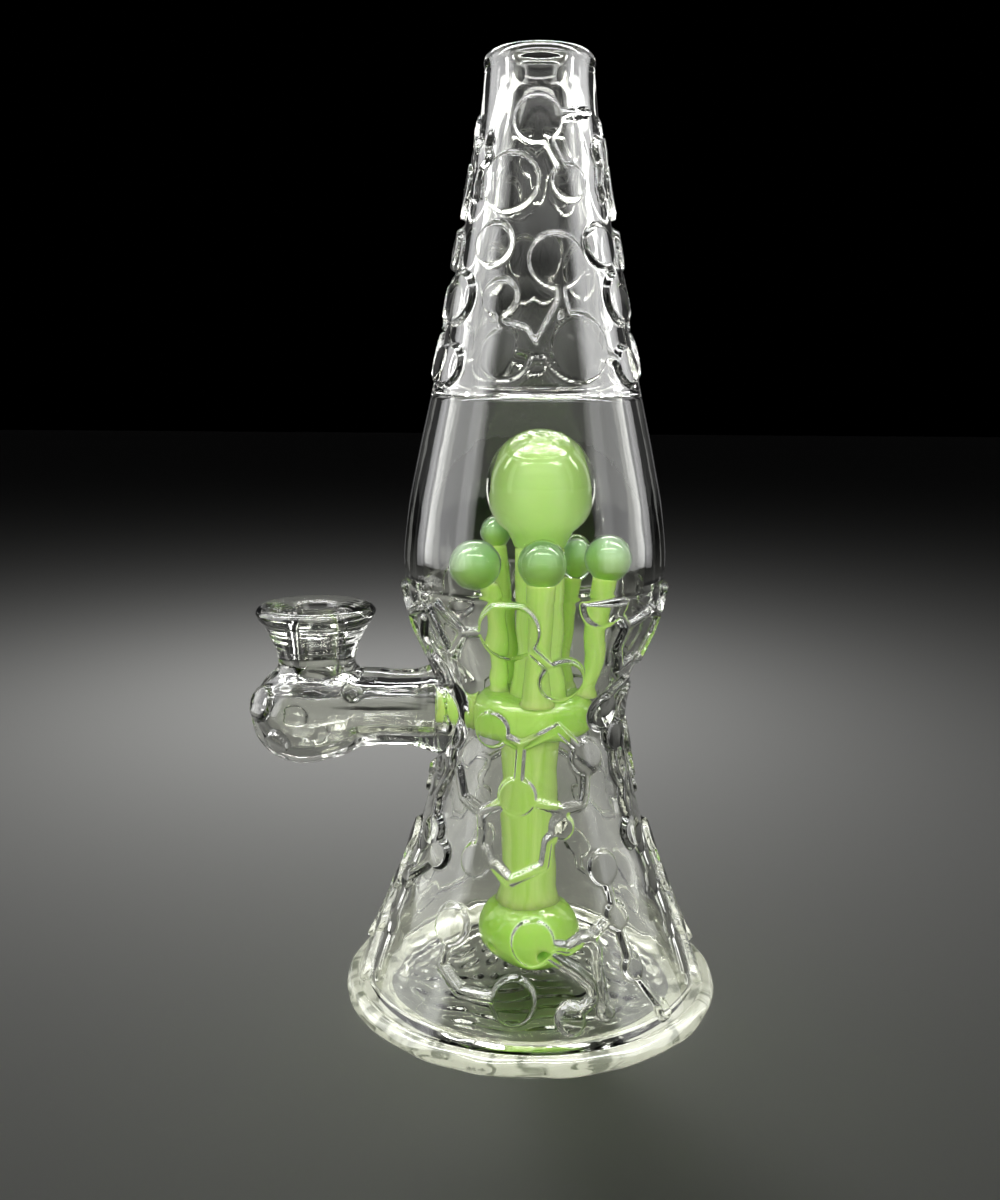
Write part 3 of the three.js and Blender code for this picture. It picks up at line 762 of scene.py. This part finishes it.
puck_profile = (
    [(0, PUCK_BOTTOM)]
    + arc((3, PUCK_EQUATOR), (PUCK_RADIUS - 3, PUCK_EQUATOR - PUCK_BOTTOM), -88, 0, 14)
    + arc((6.5, PUCK_EQUATOR), (PUCK_RADIUS - 6.5, PUCK_TOP - PUCK_EQUATOR - 0.3), 10, 72, 8)
    + [(DOWNTUBE_RADIUS + 0.9, PUCK_TOP), (0, PUCK_TOP)]
)
puck = leaned(turned("diffuser", puck_profile, 96, SLIME, x=DOWNTUBE_X))
for number in range(PUCK_HOLES):
    turn = math.radians(360 * number / PUCK_HOLES - 75)
    drill_form = [(0, 7), (PUCK_HOLE_RADIUS, 7), (PUCK_HOLE_RADIUS, 16), (0, 16)]
    drill = turned("drill", drill_form, 24, SLIME)
    aim = Vector((math.cos(turn), math.sin(turn), 0)).to_track_quat("Z", "X").to_matrix().to_4x4()
    drill.data.transform(Matrix.Translation((DOWNTUBE_X * MM, 0, PUCK_HOLE_HEIGHT * MM)) @ aim)
    combine(puck, drill, "DIFFERENCE")
puck.data.shade_smooth()
finish_piece(puck, "green_glass", "diffuser_puck")

column_profile = [
    (0, DECK_TOP + 0.05), (COLUMN_RADIUS + 0.8, DECK_TOP + 0.05),
    (COLUMN_RADIUS + 0.2, DECK_TOP + 2.5), (COLUMN_RADIUS, DECK_TOP + 6),
    (COLUMN_RADIUS - 0.1, 96), (COLUMN_RADIUS, BLOB_NECK - 0.6), (0, BLOB_NECK - 0.3),
]
column = turned("lava_column", column_profile, 64, DRAWN_AND_PAINTED_STREAKS, x=COLUMN_X)
finish_piece(column, "green_glass", "centre_column")

blob_profile = (
    [(0, BLOB_NECK), (COLUMN_RADIUS + 0.2, BLOB_NECK), (COLUMN_RADIUS + 0.7, BLOB_NECK + 1.4)]
    + [(COLUMN_RADIUS + 1.9, BLOB_NECK + 3.6)]
    + arc((0, BLOB_EQUATOR), (BLOB_RADIUS, BLOB_TOP - BLOB_EQUATOR), -38, 88, 72)
    + [(0, BLOB_TOP)]
)
blob_casing = turned("lava_blob_casing", blob_profile, 128, CASING, x=COLUMN_X)
for vertex in blob_casing.data.vertices:
    x, y, z = vertex.co.x / MM - COLUMN_X, vertex.co.y / MM, vertex.co.z / MM
    out = math.hypot(x, y)
    if z > BLOB_EQUATOR:
        crinkled = float(smooth_ramp((out - 2.2) / 1.2) * smooth_ramp((8.2 - out) / 1.6))
        crinkle = math.sin(3.4 * out + 1.8 * math.sin(5 * math.atan2(y, x)))
        crinkle += math.sin(3.1 * x + 1.2 * y)
        vertex.co.z += 0.05 * crinkled * crinkle * MM
finish_piece(blob_casing, "clear_glass", "centre_blob")

core_form = [
    (BLOB_NECK + 0.1, 4.7), (114, 6.1), (118, 7.7), (121.5, 8.2), (BLOB_EQUATOR, 8.1),
    (129, 7.6), (132.2, 6.7), (134.6, 4.9),
]
core_bottom, core_shoulder = core_form[0][0], core_form[-1][0]
core_profile = (
    [(0, core_bottom)]
    + [(float(interpolated(core_form, z)), z) for z in np.linspace(core_bottom, core_shoulder, 40)]
    + [(4.0, 135.4), (3.2, 135.9), (2.4, 136.2), (1.6, 136.4), (0.8, CORE_TOP), (0, CORE_TOP)]
)
blob_core = turned("lava_blob_core", core_profile, 96, CORE, x=COLUMN_X)
for vertex in blob_core.data.vertices:
    x, y, z = vertex.co.x / MM - COLUMN_X, vertex.co.y / MM, vertex.co.z / MM
    crown = float(smooth_ramp((z - 132.0) / 2.5))
    ring_wave = math.sin(2.6 * math.hypot(x, y) + 1.5 * math.sin(3 * math.atan2(y, x)))
    vertex.co.z += 0.30 * crown * (ring_wave + 0.6 * math.sin(2.3 * x) * math.cos(2.0 * y)) * MM
# Faces above the crown height get the paler crown colour, which is a painted highlight.
blob_core.data.materials.append(CROWN_PAINTED_HIGHLIGHT)
for face in blob_core.data.polygons:
    face.material_index = int(face.center.z > CROWN_HEIGHT * MM)
finish_piece(blob_core, "green_glass", "centre_blob")


def path_point(path, height):
    """Where the path is at this height, as [x, y]."""
    return [float(interpolated([(p[2], p[axis]) for p in path], height)) for axis in (0, 1)]


def finger_stalk(number, path, stalk, root, top):
    """The stalk flares into the deck and swells a little just inside the tip."""
    radii = [
        (DECK_TOP - 0.6, root + 0.3), (DECK_TOP, root), (DECK_TOP + 1.2, root - 0.5),
        (DECK_TOP + 3, stalk + 0.3), (DECK_TOP + 6, stalk), (90, stalk), (96, stalk),
        (top - 2, stalk + 0.3), (top, stalk + 0.3),
    ]
    angles = np.arange(FINGER_SIDES) * 360 / FINGER_SIDES
    loops = []
    for z in np.linspace(radii[0][0], top, 40):
        x, y = path_point(path, z)
        loops.append(ring(float(interpolated(radii, z)), z, angles) + np.array([x, y, 0]))
    vertices, faces = loops_to_mesh(loops, False)
    count = len(vertices)
    faces += [tuple(range(FINGER_SIDES))[::-1], tuple(range(count - FINGER_SIDES, count))]
    piece = new_piece(f"finger_{number}_stalk", vertices, faces, DRAWN_AND_PAINTED_STREAKS)
    finish_piece(piece, "green_glass", f"finger_stalk_{number}")


def finger_tip(number, part, centre, wide, tall, material):
    """The tip's clear skin, or the milky core inside it."""
    x, y, z = centre
    profile = [(0, z - tall)] + arc((0, z), (wide, tall), -88, 88, 24) + [(0, z + tall)]
    tip = turned(f"finger_{number}_{part}", profile, 64, material, x=x, y=y)
    finish_piece(tip, "tip_glass", f"finger_blob_{number}")


for number, (path, stalk, root, wide, tall) in enumerate(FINGERS, 1):
    x, y, z = path[-1]
    finger_stalk(number, path, stalk, root, z - 0.78 * tall)
    finger_tip(number, "tip", (x, y, z), wide, tall, TIP_SKIN)
    finger_tip(
        number, "tip_core", (x, y, z - TIP_CORE_DROP),
        wide * TIP_CORE_SHARE, tall * TIP_CORE_SHARE, TIP,
    )


# ---- Stage and light ----
FLOOR_SPREAD = 2500.0              # half the floor's side
FLOOR_GAP = 0.05                   # keeps the floor off the foot's flat underside


def floor_material():
    material, _, shader = principled("pale_floor")
    shader.inputs["Base Color"].default_value = (0.62, 0.62, 0.60, 1)
    shader.inputs["Roughness"].default_value = 0.7
    shader.inputs["Specular IOR Level"].default_value = 0.1
    return material


def collection_of(name, wanted):
    group = bpy.data.collections.new(name)
    for piece in list(bpy.context.scene.objects):
        if piece.type == "MESH" and wanted(piece):
            group.objects.link(piece)
    return group


def is_glass(piece):
    return piece.data.materials[0] in (CLEAR, CASING, TIP_SKIN)


def is_shown_solid(piece):
    return not is_glass(piece) and not piece.hide_render


glass_pieces = collection_of("glass_pieces", is_glass)
solid_pieces = collection_of("solid_pieces", is_shown_solid)
neck_only = collection_of("neck_only", lambda piece: piece == carved_neck)

# The clear glass casts no shadow and no caustics, so the green glass is lit through it.
for piece in glass_pieces.objects:
    piece.visible_shadow = False
    piece.visible_diffuse = False

corners = [(-1, -1), (1, -1), (1, 1), (-1, 1)]
floor = new_piece(
    "floor", [(x * FLOOR_SPREAD, y * FLOOR_SPREAD, -FLOOR_GAP) for x, y in corners], [(0, 1, 2, 3)],
    floor_material(),
)
floor_only = collection_of("floor_only", lambda piece: piece == floor)

MIDDLE = (0, 0, 0.11)


def softbox(
    name, direction, distance, height, size, radiance, receivers, aim=MIDDLE, through_glass=True
):
    """A panel that faces aim, bright in its middle and faded at its edges. direction is in
    degrees from the front, positive towards +X, and lengths are in metres. A panel that isn't
    through_glass shows in the glass's outer face only."""
    turn = math.radians(direction)
    place = Vector((distance * math.sin(turn), -distance * math.cos(turn), height))
    light = bpy.data.lights.new(name, "AREA")
    light.shape = "RECTANGLE"
    light.size, light.size_y = size
    light.energy = radiance * math.pi * size[0] * size[1]
    light.use_nodes = True
    tree = light.node_tree
    across = tree.nodes.new("ShaderNodeNewGeometry")
    split = tree.nodes.new("ShaderNodeSeparateXYZ")
    tree.links.new(across.outputs["Parametric"], split.inputs[0])
    fades = []
    for axis in ("X", "Y"):
        centred = tree.nodes.new("ShaderNodeMath")
        centred.operation = "SUBTRACT"
        centred.inputs[1].default_value = 0.5
        tree.links.new(split.outputs[axis], centred.inputs[0])
        span = tree.nodes.new("ShaderNodeMath")
        span.operation = "ABSOLUTE"
        tree.links.new(centred.outputs[0], span.inputs[0])
        fade = tree.nodes.new("ShaderNodeMapRange")
        fade.interpolation_type = "SMOOTHSTEP"
        fade.inputs["From Min"].default_value = 0.5
        fade.inputs["From Max"].default_value = 0.25
        tree.links.new(span.outputs[0], fade.inputs["Value"])
        fades.append(fade)
    both = tree.nodes.new("ShaderNodeMath")
    both.operation = "MULTIPLY"
    for number, fade in enumerate(fades):
        tree.links.new(fade.outputs["Result"], both.inputs[number])
    tree.links.new(both.outputs[0], tree.nodes["Emission"].inputs["Strength"])
    lamp = bpy.data.objects.new(name, light)
    lamp.location = place
    lamp.rotation_euler = (Vector(aim) - place).to_track_quat("-Z", "Y").to_euler()
    lamp.visible_camera = False
    lamp.visible_transmission = through_glass
    lamp.light_linking.receiver_collection = receivers
    bpy.context.scene.collection.objects.link(lamp)


def softbox_pair(name, direction, distance, height, size, radiances, receivers, through_glass=True):
    for side, sign, radiance in (("left", -1, radiances[0]), ("right", 1, radiances[1])):
        softbox(
            f"{name}_{side}", sign * direction, distance, height, size, radiance, receivers,
            through_glass=through_glass,
        )


# Large panels beside the glass, mirrored in its outer face.
softbox_pair("side", 86, 0.62, 0.30, (0.88, 0.82), (4.2, 3.3), glass_pieces, through_glass=False)
softbox_pair("neck", 80, 0.62, 0.30, (0.88, 0.82), (3.9, 6.0), neck_only, through_glass=False)

# Strips and high panels, drawn out along the relief's edges.
softbox_pair("front_strip", 65, 0.62, 0.30, (0.16, 0.82), (2.0, 1.2), glass_pieces)
softbox_pair("back_strip", 115, 0.62, 0.30, (0.16, 0.82), (2.4, 2.4), glass_pieces)
softbox_pair("rear", 140, 0.62, 0.58, (0.50, 0.40), (1.2, 1.2), glass_pieces)
softbox_pair("edge", 158, 0.62, 0.20, (0.08, 0.80), (0.16, 0.16), glass_pieces)
softbox_pair("high", 90, 0.50, 0.72, (0.12, 0.90), (18.0, 18.0), glass_pieces)
softbox("overhead", 0, 0.02, 0.78, (1.60, 0.24), 18.0, glass_pieces)
softbox("high_back", 180, 0.55, 0.66, (1.00, 0.14), 18.0, glass_pieces)
softbox("high_front", 0, 0.30, 0.55, (0.90, 0.10), 18.0, glass_pieces)
softbox("canopy", 0, 0.50, 0.62, (1.30, 0.50), 1.2, glass_pieces)
softbox("backdrop", 180, 1.20, 0.10, (1.20, 0.36), 0.05, glass_pieces)

# Soft light on the green glass.
softbox_pair("inner", 50, 0.62, 0.30, (0.60, 0.60), (3.2, 3.2), solid_pieces)
softbox("inner_front", 0, 0.62, 0.34, (0.90, 0.45), 2.9, solid_pieces)
softbox("inner_back", 180, 0.62, 0.55, (0.90, 0.45), 2.4, solid_pieces)

# Light on the floor, with a pool behind the arm.
softbox("floor_light", 180, 0.20, 0.60, (0.50, 0.40), 0.6, floor_only)
softbox("floor_pool", -165, 0.27, 0.25, (0.22, 0.16), 5.6, floor_only, (-0.072, 0.26, 0))

# A faint surround that lifts the glass's dark edges, and isn't seen behind it.
world = bpy.data.worlds.new("dark_studio")
bpy.context.scene.world = world
world.use_nodes = True
world.node_tree.nodes["Background"].inputs["Color"].default_value = (0.025, 0.025, 0.026, 1)
world.cycles_visibility.camera = False
world.cycles_visibility.diffuse = False


# ---- Camera ----
def photo_camera():
    """The photograph's close, slightly raised view."""
    tilt, yaw, roll = math.radians(10.72), math.radians(-1.5775), math.radians(0.3377)
    forward = Vector((math.sin(yaw) * math.cos(tilt), math.cos(yaw) * math.cos(tilt), -math.sin(tilt)))
    right = Vector((math.cos(yaw), -math.sin(yaw), 0))
    up = right.cross(forward)
    rolled_right = right * math.cos(roll) + up * math.sin(roll)
    rolled_up = up * math.cos(roll) - right * math.sin(roll)
    data = bpy.data.cameras.new("photo_camera")
    data.lens = 37.65
    data.clip_start = 0.01
    camera = bpy.data.objects.new("photo_camera", data)
    axes = Matrix((rolled_right, rolled_up, -forward)).transposed()
    camera.matrix_world = Matrix.Translation((0, -0.295, 0.1544)) @ axes.to_4x4()
    bpy.context.scene.collection.objects.link(camera)
    bpy.context.scene.camera = camera


photo_camera()
bpy.context.scene.cycles.max_bounces = 24
bpy.context.scene.cycles.sample_clamp_indirect = 0.0
bpy.context.scene.cycles.transmission_bounces = 24
bpy.context.scene.view_settings.view_transform = "Standard"
